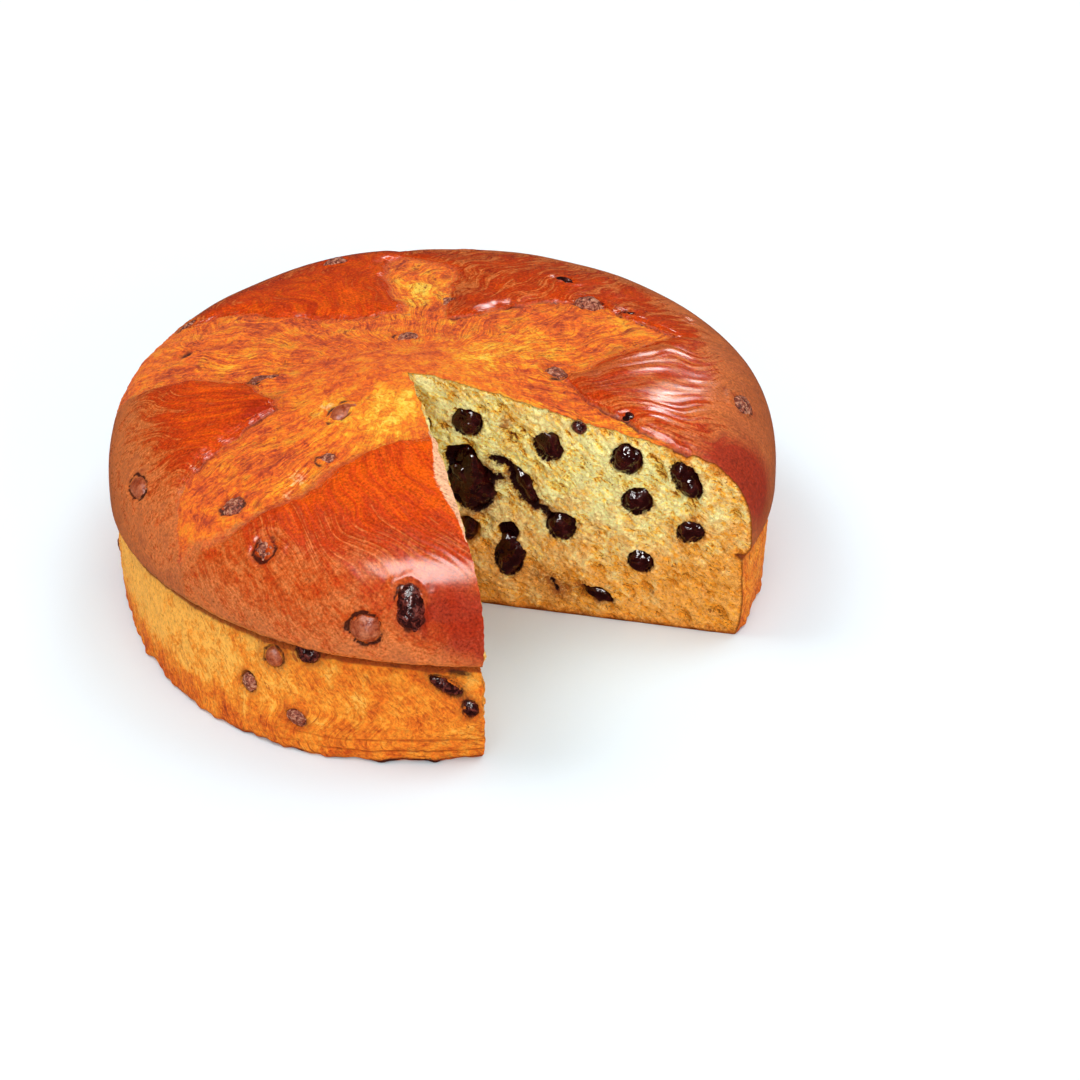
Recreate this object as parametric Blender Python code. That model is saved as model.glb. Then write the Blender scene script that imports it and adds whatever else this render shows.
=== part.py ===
# A low, domed chocolate panettone with one slice cut out of it.
# Metres, +Z up. The origin lies on the resting surface, under the middle of the loaf's box.
# -Y is the loaf's front and +X its right. The slice came out of the front right.

import math

import bmesh
import bpy
from mathutils import Matrix, Vector, geometry, noise

MM = 0.001

# Loaf: an oval in plan, with a domed crust that hangs a little over an upright wall
HALF_WIDE = 105 * MM
HALF_DEEP = 112.3 * MM
CROWN_HEIGHT = 72.2 * MM
FRONT_RISE = 0.037
DOME_POWER = 3.07
PEAK_RISE = 10.2 * MM
PEAK_SPREAD = 37.7 * MM
SEAM_HEIGHT = 30.5 * MM
SEAM_WAVE = 0.6 * MM
LIP_HEIGHT = 3.0 * MM
LIP_INSET = 0.987
CREASE_INSET = 0.962
CREASE_DROP = 1.6 * MM
WALL_TOP_INSET = 0.972
WALL_BULGE = 0.8 * MM
WALL_FOOT_INSET = 0.975
FOOT_ROUND = 1.6 * MM

# The front left of the loaf rose higher at the seam and spread wider at its foot
FRONT_LEFT = -118
SEAM_SWELL = 4.2 * MM
FOOT_SWELL = 0.05
SWELL_SPREAD = 30

# Notch: both cuts start at one upright axis, off the middle of the loaf
NOTCH_AXIS = Vector((-9.4 * MM, -24.6 * MM, 0))
NOTCH_FROM = -74.5
NOTCH_TO = -12.6

# Crust lobes that the scoring opened: middle heading, half its spread, how far out its tip starts, and its rise
LOBES = (
    (-92, 27, 38 * MM, 3.0 * MM),
    (182, 20, 42 * MM, 3.0 * MM),
    (115, 17.5, 54 * MM, 2.8 * MM),
    (60, 21, 54 * MM, 1.8 * MM),
    (8, 23, 50 * MM, 3.2 * MM),
)
LOBE_OPENING = 13 * MM
LOBE_SLOPE = 7 * MM
VALLEY_DROP = 2.4 * MM
RIM_SHARE = 0.2
UNEVEN = 1.1 * MM
UNEVEN_LENGTH = 26 * MM

# Crumb: the torn relief of the two cut faces
CRUMB_RELIEF = 1.1 * MM
CRUMB_LENGTH = 8 * MM

# Mesh steps
COLUMNS = 66
DOME_ROWS = 20
ROW_CROWDING = 1.6
AXIS_STEPS = 9
CRUMB_STEP = 8 * MM
CRUMB_CLEAR = 0.55
WELD = 1e-4 * MM
ROW_PITCH = math.sqrt(3) / 2
WALL_STEPS = 4
FLOOR_RINGS = (0.3, 0.65)
SLOPE_STEP = 2 * MM
HALVINGS = 30

# Chocolate drops, sunk in the bread with a hair of room round them
SOCKET_ROOM = 0.3 * MM
DROP_DEPTH = 0.78
DROP_SUNK = 0.24
DROP_LUMPS = 0.16
LUMP_DENSITY = 1.4
LUMP_SHIFT = Vector((7.3, 3.1, 1.0))
DROP_SIDES = 7
DROP_BANDS = 5

# On each cut face: millimetres out from the notch's axis and up, long, wide, and the tilt of its length
RIGHT_FACE_DROPS = (
    (18.4, 66.4, 11.5, 10.5, 70),
    (43.8, 60.6, 12.0, 10.0, 130),
    (67.9, 59.6, 12.6, 11.2, 60),
    (86.6, 54.0, 14.8, 9.6, 120),
    (71.2, 45.0, 12.0, 10.6, 20),
    (18.8, 43.8, 23.0, 17.0, 105),
    (36.6, 46.0, 17.5, 4.6, 120),
    (47.6, 32.6, 12.4, 10.8, 100),
    (31.8, 19.4, 17.6, 11.4, 85),
    (18.4, 26.8, 9.4, 5.0, 80),
    (60.0, 8.6, 10.5, 5.6, 160),
    (88.0, 36.0, 11.0, 9.4, 30),
    (73.0, 23.6, 10.4, 9.0, 140),
)
LEFT_FACE_DROPS = (
    (20.0, 63.0, 11.0, 9.6, 40),
    (37.0, 49.0, 12.2, 10.4, 110),
    (57.0, 57.4, 10.8, 9.4, 75),
    (76.0, 48.6, 13.0, 9.8, 20),
    (26.0, 27.0, 15.6, 9.8, 65),
    (50.0, 30.6, 11.6, 10.6, 150),
    (73.0, 23.4, 10.8, 8.6, 95),
    (42.0, 10.8, 11.4, 7.4, 10),
)

# On the crust: millimetres along X and Y, long, wide, and the turn of its length
CRUST_DROPS = (
    (1.7, 41.6, 9.6, 7.6, 20),
    (-10.8, 10.1, 11.0, 8.0, 10),
    (-54.7, -10.3, 11.6, 7.6, 0),
    (-28.8, -41.1, 12.6, 8.4, 35),
    (-61.2, -35.8, 5.4, 4.6, 60),
    (-32.4, -59.2, 8.8, 5.2, 15),
    (-59.1, -72.1, 9.2, 8.0, 30),
    (-48.1, -89.0, 11.2, 9.6, 70),
    (-90.3, -47.3, 12.6, 8.0, 110),
    (38.2, 60.6, 10.0, 6.0, -30),
    (46.8, 44.2, 10.6, 7.6, -10),
    (61.1, 37.8, 11.4, 7.8, -15),
    (77.9, 44.0, 9.0, 6.6, -40),
    (35.2, -8.9, 11.0, 9.0, 60),
    (93.6, -9.2, 10.4, 8.6, 80),
    (42.6, -37.4, 5.6, 4.4, -15),
    (56.6, -31.6, 5.6, 4.2, -10),
    (-38.0, 78.0, 9.6, 7.8, 25),
    (6.0, 92.0, 10.4, 8.2, -60),
    (-84.0, 46.0, 9.8, 7.4, 45),
)

# Low on the front of the dome and on the wall: heading from the loaf's middle, height, long, wide, tilt
SIDE_DROPS = (
    (-100.4, 46.6, 11.8, 11.2, 0),
    (-93.2, 52.0, 16.0, 9.6, 100),
    (-115.5, 28.0, 7.6, 7.0, 120),
    (-109.7, 32.2, 8.2, 7.2, 160),
    (-119.5, 17.6, 7.0, 5.2, 120),
    (-111.1, 11.2, 7.4, 5.4, 150),
    (-88.0, 26.0, 12.0, 5.0, 145),
    (-84.6, 18.0, 6.6, 6.0, 90),
    (24.0, 22.0, 8.4, 6.8, 20),
    (78.0, 16.0, 7.8, 7.0, 60),
    (140.0, 24.0, 8.6, 6.4, 130),
    (188.0, 12.0, 8.0, 7.2, 40),
)


def ramp(value):
    """A smooth rise from 0 to 1 as the value goes from 0 to 1."""
    value = min(max(value, 0.0), 1.0)
    return value * value * (3 - 2 * value)


def turn_from(heading, other):
    """The signed turn in degrees from the other heading to this one."""
    return (heading - other + 180) % 360 - 180


def toward(heading):
    return Vector((math.cos(math.radians(heading)), math.sin(math.radians(heading)), 0))


def middle_heading(point):
    return math.degrees(math.atan2(point.y, point.x))


def uneven(point, length, height):
    return height * noise.noise(point / length)


def reach(start, heading, inset):
    """How far it is from the start, along the heading, to the loaf's oval, drawn in by the inset."""
    along = toward(heading)
    step_x, step_y = along.x / HALF_WIDE, along.y / HALF_DEEP
    start_x, start_y = start.x / HALF_WIDE, start.y / HALF_DEEP
    square = step_x**2 + step_y**2
    half = start_x * step_x + start_y * step_y
    rest = start_x**2 + start_y**2 - inset**2
    return (math.sqrt(half * half - square * rest) - half) / square


def swell(heading):
    return math.exp(-((turn_from(heading, FRONT_LEFT) / SWELL_SPREAD) ** 2))


def seam_height(heading):
    slow = math.sin(math.radians(3 * heading + 40))
    quick = math.sin(math.radians(7 * heading))
    return SEAM_HEIGHT + SEAM_SWELL * swell(heading) + SEAM_WAVE * (slow + quick)


def foot_inset(heading):
    return WALL_FOOT_INSET + FOOT_SWELL * swell(heading)


def lobe_rise(place):
    """How far the crust's lobes rise over the valleys between them."""
    out = place - NOTCH_AXIS
    far, heading = out.length, middle_heading(out)
    rise = 0.0
    for middle, half_spread, tip, lift in LOBES:
        past_tip = far - tip
        if past_tip > 0:
            spread = half_spread * (1 - math.exp(-past_tip / LOBE_OPENING))
            inside = math.radians(spread - abs(turn_from(heading, middle))) * far
            rise = max(rise, lift * ramp(inside / LOBE_SLOPE))
    return rise


def crust_height(place):
    """Height of the domed crust over a place in plan."""
    out = min(math.hypot(place.x / HALF_WIDE, place.y / HALF_DEEP), 1.0)
    rim = seam_height(middle_heading(place)) + LIP_HEIGHT
    crown = CROWN_HEIGHT - FRONT_RISE * place.y
    dome = rim + (crown - rim) * (1 - out**DOME_POWER) ** (1 / DOME_POWER)
    peak = PEAK_RISE * math.exp(-(((place - NOTCH_AXIS).length / PEAK_SPREAD) ** 2))
    relief = lobe_rise(place) - VALLEY_DROP + uneven(place, UNEVEN_LENGTH, UNEVEN)
    return dome + peak + relief * ramp((1 - out) / RIM_SHARE)


def column_points(heading):
    """One upright slice of the skin, from the floor out, up the wall and over the dome, without its two ends."""
    along = toward(heading)
    rim_reach = reach(NOTCH_AXIS, heading, 1.0)
    middle = middle_heading(NOTCH_AXIS + along * rim_reach)
    foot = reach(NOTCH_AXIS, heading, foot_inset(middle))
    wall_top = reach(NOTCH_AXIS, heading, WALL_TOP_INSET)
    seam = seam_height(middle)
    outline = [(ring * foot, 0.0) for ring in FLOOR_RINGS]
    corner = (1 - math.sqrt(0.5)) * FOOT_ROUND
    outline += [(foot - FOOT_ROUND, 0.0), (foot - corner, corner)]
    for step in range(WALL_STEPS + 1):
        share = step / WALL_STEPS
        bulge = WALL_BULGE * math.sin(math.pi * share)
        height = FOOT_ROUND + share * (seam - CREASE_DROP - FOOT_ROUND)
        outline.append((foot + share * (wall_top - foot) + bulge, height))
    outline.append((reach(NOTCH_AXIS, heading, CREASE_INSET), seam - 0.3 * CREASE_DROP))
    outline.append((reach(NOTCH_AXIS, heading, LIP_INSET), seam + 0.4 * CREASE_DROP))
    points = [NOTCH_AXIS + along * out + Vector((0, 0, height)) for out, height in outline]
    for row in range(DOME_ROWS):
        share_out = 1 - (row / DOME_ROWS) ** ROW_CROWDING
        place = NOTCH_AXIS + along * rim_reach * share_out
        points.append(place + Vector((0, 0, crust_height(place))))
    return points


def fill_strip(body, lower, upper, material):
    """Triangles between two open runs of equally many vertices."""
    for a, b, c, d in zip(lower, lower[1:], upper[1:], upper):
        for corners in ((a, b, c), (a, c, d)):
            body.faces.new(corners).material_index = material


def fill_fan(body, centre, run, material):
    for a, b in zip(run, run[1:]):
        body.faces.new((centre, a, b)).material_index = material


def holds(outline, point):
    """Whether a flat point lies inside the closed outline."""
    inside = False
    for a, b in zip(outline, outline[1:] + outline[:1]):
        if (a.y > point.y) != (b.y > point.y):
            inside ^= point.x < a.x + (point.y - a.y) / (b.y - a.y) * (b.x - a.x)
    return inside


def crumb_points(outline):
    """An uneven honeycomb of points inside the outline, clear of its corners."""
    points = []
    across = max(corner.x for corner in outline)
    up = max(corner.y for corner in outline)
    for row in range(int(up / (CRUMB_STEP * ROW_PITCH)) + 1):
        for column in range(int(across / CRUMB_STEP) + 1):
            x = (column + 0.5 * (row % 2)) * CRUMB_STEP
            y = row * CRUMB_STEP * ROW_PITCH
            seat = Vector((x, y, 0))
            x += uneven(seat, CRUMB_STEP, 0.5 * CRUMB_STEP)
            y += uneven(seat + Vector((1, 0, 0)), CRUMB_STEP, 0.5 * CRUMB_STEP)
            point = Vector((x, y))
            clear = min(x, y, *((corner - point).length for corner in outline))
            if clear > CRUMB_CLEAR * CRUMB_STEP and holds(outline, point):
                points.append(point)
    return points


def add_cut_face(body, edge, along, normal, material):
    """A rough face over a closed edge: its points stand out or lie in by the crumb's relief."""
    outline = [Vector(((vertex.co - NOTCH_AXIS).dot(along), vertex.co.z)) for vertex in edge]
    points = crumb_points(outline)
    vertices = list(edge)
    for flat in points:
        point = NOTCH_AXIS + along * flat.x + Vector((0, 0, flat.y))
        vertices.append(body.verts.new(point + normal * uneven(point, CRUMB_LENGTH, CRUMB_RELIEF)))
    border = [(n, (n + 1) % len(edge)) for n in range(len(edge))]
    filled = geometry.delaunay_2d_cdt(outline + points, border, [], 1, WELD)
    sources = [origins[0] for origins in filled[3]]
    for corners in filled[2]:
        body.faces.new([vertices[sources[corner]] for corner in corners]).material_index = material


def build_bread():
    body = bmesh.new()
    turn = 360 - (NOTCH_TO - NOTCH_FROM)
    columns = []
    for column in range(COLUMNS + 1):
        points = column_points(NOTCH_TO + turn * column / COLUMNS)
        columns.append([body.verts.new(point) for point in points])
    top = Vector((0, 0, crust_height(NOTCH_AXIS)))
    axis = [body.verts.new(NOTCH_AXIS + top * step / AXIS_STEPS) for step in range(AXIS_STEPS + 1)]
    wall_start = len(FLOOR_RINGS) + 1
    dome_start = len(columns[0]) - DOME_ROWS - 1
    for row in range(len(columns[0]) - 1):
        material = 0 if row >= dome_start else 1 if row >= wall_start else 2
        lower = [column[row] for column in columns]
        upper = [column[row + 1] for column in columns]
        fill_strip(body, lower, upper, material)
    fill_fan(body, axis[0], [column[0] for column in columns], 2)
    fill_fan(body, axis[-1], [column[-1] for column in columns], 0)
    for column, side in ((columns[0], -1), (columns[-1], 1)):
        along = (column[0].co - NOTCH_AXIS).normalized()
        normal = Vector((-along.y, along.x, 0)) * side
        add_cut_face(body, column + axis[::-1], along, normal, 3)
    bmesh.ops.recalc_face_normals(body, faces=body.faces)
    return new_object("bread", body, BREAD_MATERIALS)


def new_material(name, colour, roughness):
    material = bpy.data.materials.new(name)
    material.use_nodes = True
    shader = material.node_tree.nodes["Principled BSDF"]
    shader.inputs["Base Color"].default_value = (*colour, 1)
    shader.inputs["Roughness"].default_value = roughness
    shader.inputs["Metallic"].default_value = 0
    material.diffuse_color = (*colour, 1)
    return material


def new_object(name, body, materials):
    mesh = bpy.data.meshes.new(name)
    body.to_mesh(mesh)
    body.free()
    for material in materials:
        mesh.materials.append(material)
    mesh.shade_smooth()
    mesh.set_sharp_from_angle(angle=math.radians(50))
    thing = bpy.data.objects.new(name, mesh)
    bpy.context.scene.collection.objects.link(thing)
    return thing


def add_lump(body, place, long, wide, seed, room):
    """A lumpy chocolate drop, its length along the place's X and its outer side along its Z."""
    made = bmesh.ops.create_uvsphere(body, u_segments=DROP_SIDES, v_segments=DROP_BANDS, radius=1)
    half = Vector((long / 2 + room, wide / 2 + room, wide * DROP_DEPTH / 2 + room))
    for vertex in made["verts"]:
        lump = 1 + DROP_LUMPS * noise.noise(vertex.co * LUMP_DENSITY + seed * LUMP_SHIFT)
        vertex.co = place @ Vector(a * b * lump for a, b in zip(vertex.co, half))
    faces = list({face for vertex in made["verts"] for face in vertex.link_faces})
    bmesh.ops.triangulate(body, faces=faces)


def facing(point, outward, upward, tilt):
    """A frame at the point: Z outward, and X turned by the tilt from level."""
    level = upward.cross(outward).normalized()
    rising = outward.cross(level)
    angle = math.radians(tilt)
    along = level * math.cos(angle) + rising * math.sin(angle)
    across = outward.cross(along)
    frame = Matrix((along, across, outward)).transposed().to_4x4()
    return Matrix.Translation(point) @ frame


def face_place(heading, side, out, height, tilt, sunk):
    along = toward(heading)
    outward = Vector((-along.y, along.x, 0)) * side
    point = NOTCH_AXIS + along * out + Vector((0, 0, height)) - outward * sunk
    return facing(point, outward, Vector((0, 0, 1)), tilt)


def crust_place(x, y, tilt, sunk):
    step = SLOPE_STEP
    place = Vector((x, y, 0))
    slope_x = crust_height(place + Vector((step, 0, 0))) - crust_height(place - Vector((step, 0, 0)))
    slope_y = crust_height(place + Vector((0, step, 0))) - crust_height(place - Vector((0, step, 0)))
    outward = Vector((-slope_x / (2 * step), -slope_y / (2 * step), 1)).normalized()
    point = place + Vector((0, 0, crust_height(place))) - outward * sunk
    return facing(point, outward, Vector((0, 1, 0)), tilt)


def side_place(heading, height, tilt, sunk):
    """On the wall, or on the steep rim of the dome where the height is above the seam."""
    along = toward(heading)
    loaf_middle = Vector((0, 0, 0))
    seam = seam_height(heading)
    if height > seam:
        near, far = HALF_WIDE / 2, reach(loaf_middle, heading, 1.0)
        for _ in range(HALVINGS):
            middle = (near + far) / 2
            if crust_height(along * middle) > height:
                near = middle
            else:
                far = middle
        place = crust_place(along.x * near, along.y * near, 0, sunk)
        outward = place.to_3x3().col[2]
        return facing(place.translation, outward, Vector((0, 0, 1)), tilt)
    share = (height - FOOT_ROUND) / (seam - FOOT_ROUND)
    foot = reach(loaf_middle, heading, foot_inset(heading))
    wall_top = reach(loaf_middle, heading, WALL_TOP_INSET)
    out = foot + share * (wall_top - foot) + WALL_BULGE * math.sin(math.pi * share)
    outward = Vector((along.x / HALF_WIDE, along.y / HALF_DEEP, 0)).normalized()
    point = along * out + Vector((0, 0, height)) - outward * sunk
    return facing(point, outward, Vector((0, 0, 1)), tilt)


def drop_list():
    """Every chocolate drop as its name, its frame, its length and its width."""
    drops = []
    faces = (("right_face", NOTCH_TO, -1, RIGHT_FACE_DROPS), ("left_face", NOTCH_FROM, 1, LEFT_FACE_DROPS))
    for area, heading, side, rows in faces:
        for count, (out, height, long, wide, tilt) in enumerate(rows, 1):
            sunk = wide * DROP_SUNK * MM
            place = face_place(heading, side, out * MM, height * MM, tilt, sunk)
            drops.append((f"drop_{area}_{count:02d}", place, long * MM, wide * MM))
    for count, (x, y, long, wide, tilt) in enumerate(CRUST_DROPS, 1):
        place = crust_place(x * MM, y * MM, tilt, wide * DROP_SUNK * MM)
        drops.append((f"drop_crust_{count:02d}", place, long * MM, wide * MM))
    for count, (heading, height, long, wide, tilt) in enumerate(SIDE_DROPS, 1):
        place = side_place(heading, height * MM, tilt, wide * DROP_SUNK * MM)
        drops.append((f"drop_side_{count:02d}", place, long * MM, wide * MM))
    return drops


def build_drops(bread):
    """Each drop as its own solid, and one cutter that makes the sockets for all of them."""
    sockets = bmesh.new()
    for seed, (name, place, long, wide) in enumerate(drop_list()):
        body = bmesh.new()
        add_lump(body, place, long, wide, seed, 0)
        add_lump(sockets, place, long, wide, seed, SOCKET_ROOM)
        new_object(name, body, [CHOCOLATE])
    cutter = new_object("sockets", sockets, [])
    cutter.hide_render = True
    cutter.display_type = "WIRE"
    cut = bread.modifiers.new("sockets", "BOOLEAN")
    cut.operation = "DIFFERENCE"
    cut.solver = "EXACT"
    cut.object = cutter


for leftover in list(bpy.data.objects):
    bpy.data.objects.remove(leftover)

BREAD_MATERIALS = (
    new_material("browned crust", (0.37, 0.09, 0.018), 0.38),
    new_material("golden side", (0.72, 0.26, 0.04), 0.7),
    new_material("golden base", (0.60, 0.22, 0.045), 0.8),
    new_material("crumb", (0.86, 0.58, 0.19), 0.85),
)
CHOCOLATE = new_material("dark chocolate", (0.035, 0.009, 0.006), 0.25)

build_drops(build_bread())
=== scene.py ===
import math

import bpy
import numpy as np
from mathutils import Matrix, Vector, geometry, noise


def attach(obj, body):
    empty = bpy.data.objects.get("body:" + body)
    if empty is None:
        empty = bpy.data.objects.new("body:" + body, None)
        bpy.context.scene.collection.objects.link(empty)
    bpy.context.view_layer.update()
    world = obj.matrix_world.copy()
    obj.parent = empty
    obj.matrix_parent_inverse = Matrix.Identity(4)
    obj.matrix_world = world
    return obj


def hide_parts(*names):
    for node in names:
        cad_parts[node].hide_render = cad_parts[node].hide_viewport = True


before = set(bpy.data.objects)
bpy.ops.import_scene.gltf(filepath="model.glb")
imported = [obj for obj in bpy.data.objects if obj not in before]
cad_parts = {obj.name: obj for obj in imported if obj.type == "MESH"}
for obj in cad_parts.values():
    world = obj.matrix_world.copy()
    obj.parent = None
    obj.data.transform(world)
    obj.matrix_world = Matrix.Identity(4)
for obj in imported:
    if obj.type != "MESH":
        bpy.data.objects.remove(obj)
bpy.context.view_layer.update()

mm = 0.001

# Everything below is worked out in millimetres, and newPiece turns it into metres.
# The loaf's own sizes, the same as in the solids
loaf = {
    "halfWide": 105.0,
    "halfDeep": 112.3,
    "crown": 72.2,
    "frontRise": 0.037,
    "domePower": 3.07,
    "peakRise": 10.2,
    "peakSpread": 37.7,
    "seam": 30.5,
    "seamWave": 0.6,
    "seamSwell": 4.2,
    "lipHeight": 3.0,
    "creaseDrop": 1.6,
    "footRound": 1.6,
    "footInset": 0.975,
    "footSwell": 0.05,
    "wallTopInset": 0.972,
    "wallBulge": 0.8,
    "frontLeft": -118,
    "swellSpread": 30,
    "axis": (-9.4, -24.6),     # where the two cuts meet
    "notchFrom": -74.5,
    "notchTo": -12.6,
    "valleyDrop": 2.4,
    "rimShare": 0.2,
    "uneven": 1.1,
    "unevenLength": 26.0,
}
axisX, axisY = loaf["axis"]


def ramp(value):
    value = np.clip(value, 0, 1)
    return value * value * (3 - 2 * value)


def hump(value):
    return np.exp(-np.square(value))


def grain(points, size, seed=0):
    # Smooth noise from -1 to 1; size is how far apart its bumps are, one number or one for each axis
    shift = Vector((7.31, 3.17, 5.57)) * seed
    return np.array([noise.noise(Vector(p) + shift) for p in (points / np.array(size)).tolist()])


def ridges(points, size, seed=0):
    return 1 - 2.2 * np.abs(grain(points, size, seed))


def cells(points, size, seed=0):
    # Cells about this size. First how far inside its cell each point is, from 0 on the walls between them to
    # about 1, then a number from 0 to 1 that is the same all over one cell.
    shift = Vector((4.13, 8.37, 2.91)) * seed
    inward, kinds = [], []
    for p in (points / np.array(size)).tolist():
        gaps, centres = noise.voronoi(Vector(p) + shift)
        inward.append(gaps[1] - gaps[0])
        kinds.append(noise.noise(centres[0] * 9.7))
    return np.array(inward), np.clip(0.5 + np.array(kinds), 0, 1)


def stack(*columns):
    shape = np.broadcast(*columns).shape
    return np.stack([np.broadcast_to(column, shape).ravel() for column in columns], axis=1)


def rays(headings):
    # Cosine and sine of each heading, as columns
    turns = np.radians(headings)[:, None]
    return np.cos(turns), np.sin(turns)


def turnFrom(heading, other):
    return (heading - other + 180) % 360 - 180


def swell(heading):
    return hump(turnFrom(heading, loaf["frontLeft"]) / loaf["swellSpread"])


def seamHeight(heading):
    wave = np.sin(np.radians(3 * heading + 40)) + np.sin(np.radians(7 * heading))
    return loaf["seam"] + loaf["seamSwell"] * swell(heading) + loaf["seamWave"] * wave


def reach(heading, inset):
    # From the notch's axis, along the heading, to the loaf's oval drawn in by the inset
    stepX = np.cos(np.radians(heading)) / loaf["halfWide"]
    stepY = np.sin(np.radians(heading)) / loaf["halfDeep"]
    startX, startY = axisX / loaf["halfWide"], axisY / loaf["halfDeep"]
    square = stepX**2 + stepY**2
    half = startX * stepX + startY * stepY
    rest = startX**2 + startY**2 - inset**2
    return (np.sqrt(half * half - square * rest) - half) / square


def outShare(x, y):
    return np.minimum(np.hypot(x / loaf["halfWide"], y / loaf["halfDeep"]), 1)


def smoothDome(x, y):
    rim = seamHeight(np.degrees(np.arctan2(y, x))) + loaf["lipHeight"]
    crown = loaf["crown"] - loaf["frontRise"] * y
    power = loaf["domePower"]
    dome = rim + (crown - rim) * (1 - outShare(x, y) ** power) ** (1 / power)
    return dome + loaf["peakRise"] * hump(np.hypot(x - axisX, y - axisY) / loaf["peakSpread"])


# The skin's lobes between the torn valleys. Each edge is a short run of places, millimetres out from the
# notch's axis with the heading there. Soft is how many millimetres the colour takes to change over that edge.
lobes = {
    "right": {
        "from": ((50, 12), (54, -1), (65, -7), (78, -12), (99, -16)),
        "to": ((50, 14), (64, 24), (85, 29), (104, 33)),
        "lift": 3.2, "twist": -0.10, "softFrom": 2.4, "softTo": 4.5, "creaseFrom": 0.8, "creaseTo": 0.4,
        "cool": 0.45,
    },
    "backRight": {
        "from": ((53, 76), (58, 69), (80, 59), (90, 49), (91, 39), (98, 30), (111, 29)),
        "to": ((53, 80), (80, 82), (97, 83), (104, 88), (112, 94)),
        "lift": 1.9, "twist": 0.12, "softFrom": 3.0, "softTo": 5.0, "creaseFrom": 0.9, "creaseTo": 0.2,
        "cool": 0.36,
    },
    "backLeft": {
        "from": ((55, 93), (79, 97), (97, 97), (105, 95), (112, 93)),
        "to": ((55, 109), (60, 117), (74, 128), (95, 132), (100, 137)),
        "lift": 2.8, "twist": 0.10, "softFrom": 4.0, "softTo": 1.8, "creaseFrom": 0.2, "creaseTo": 0.6,
        "cool": 0.1,
    },
    "left": {
        "from": ((40, 184), (47, 172), (55, 164), (71, 161), (89, 163)),
        "to": ((36, 190), (45, 194), (54, 198), (64, 202), (74, 208), (80, 213), (84, 218)),
        "lift": 3.0, "twist": 0.35, "softFrom": 4.0, "softTo": 1.6, "creaseFrom": 0.2, "creaseTo": 0.7,
        "cool": 0.12,
    },
    "front": {
        "from": ((30, 285), (34, 262), (38, 250), (46, 243), (56, 240), (65, 233), (72, 230), (78, 227),
                 (84, 220)),
        "to": ((33, 330), (120, 330)),
        "lift": 3.0, "twist": -0.75, "softFrom": 8.0, "softTo": 5.0, "creaseFrom": 0.0, "creaseTo": 0.0,
        "cool": 0.0,
    },
}
rimSkin = 10.5      # the skin closes over the valleys this far above the lip
edgeWobble = {"wide": 2.4, "wideSize": 11.0, "small": 1.1, "smallSize": 3.6}


def lobeField(x, y, height):
    # For each place: millimetres inside the nearest lobe (less than 0 in a valley), that divided by the
    # softness of its edge, and the lift, twist, coolness and crease there
    far = np.hypot(x - axisX, y - axisY)
    heading = np.degrees(np.arctan2(y - axisY, x - axisX))
    heading = np.where(heading < loaf["notchTo"] - 0.5, heading + 360, heading)
    flat = stack(x, y, 0.0)
    wobble = edgeWobble["wide"] * grain(flat, edgeWobble["wideSize"], 61)
    wobble += edgeWobble["small"] * grain(flat, edgeWobble["smallSize"], 62)
    wobble = wobble.reshape(x.shape)
    rimInside = seamHeight(np.degrees(np.arctan2(y, x))) + loaf["lipHeight"] + rimSkin - height
    inside = rimInside * 0.9 + wobble
    found = {"soft": inside / 4.5, "lift": np.full(x.shape, 2.6), "twist": 0 * x, "cool": 0.3 + 0 * x}
    found["crease"] = 0.15 + 0 * x
    for lobe in lobes.values():
        low = np.interp(far, *zip(*lobe["from"]))
        high = np.interp(far, *zip(*lobe["to"]))
        fromLow = np.radians(heading - low) * far
        fromHigh = np.radians(high - heading) * far
        tip = far - lobe["from"][0][0]
        here = np.minimum(np.minimum(fromLow, fromHigh), tip) + wobble
        width = np.where(fromLow < fromHigh, lobe["softFrom"], lobe["softTo"])
        crease = np.where(fromLow < fromHigh, lobe["creaseFrom"], lobe["creaseTo"])
        nearer = here > inside
        inside = np.where(nearer, here, inside)
        found["soft"] = np.where(nearer, here / width, found["soft"])
        found["crease"] = np.where(nearer, crease, found["crease"])
        weight = ramp((here + 3) / 6)
        for key in ("lift", "twist", "cool"):
            found[key] = found[key] + (lobe[key] - found[key]) * weight
    found["inside"] = inside
    return found


def crustHeight(x, y):
    dome = smoothDome(x, y)
    lobe = lobeField(x, y, dome)
    inside = lobe["inside"]
    rise = lobe["lift"] * (0.6 * ramp((inside + 3) / 10) + 0.4 - 0.4 * np.exp(-np.maximum(inside, 0) / 2.2))
    slow = loaf["uneven"] * grain(stack(x, y, 0.0), loaf["unevenLength"]).reshape(x.shape)
    relief = rise - loaf["valleyDrop"] + slow
    return dome + relief * ramp((1 - outShare(x, y)) / loaf["rimShare"])


# Chocolate drops: each keeps the place and size of its solid, which is read here as an ellipsoid
def ellipsoidOf(name):
    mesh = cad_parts[name].data
    points = np.empty(len(mesh.vertices) * 3)
    mesh.vertices.foreach_get("co", points)
    points = points.reshape(-1, 3) / mm
    middle = (points.min(axis=0) + points.max(axis=0)) / 2
    _, _, axes = np.linalg.svd(points - points.mean(axis=0))
    half = np.abs((points - middle) @ axes.T).max(axis=0)
    return middle, axes, half


dropNames = sorted(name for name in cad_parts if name.startswith("drop_"))
drops = {name: ellipsoidOf(name) for name in dropNames}


def dropShell(points, name):
    # How far each point is from the drop's middle, in the drop's own radii
    middle, axes, half = drops[name]
    return np.linalg.norm(((points - middle) @ axes.T) / half, axis=1)


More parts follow.
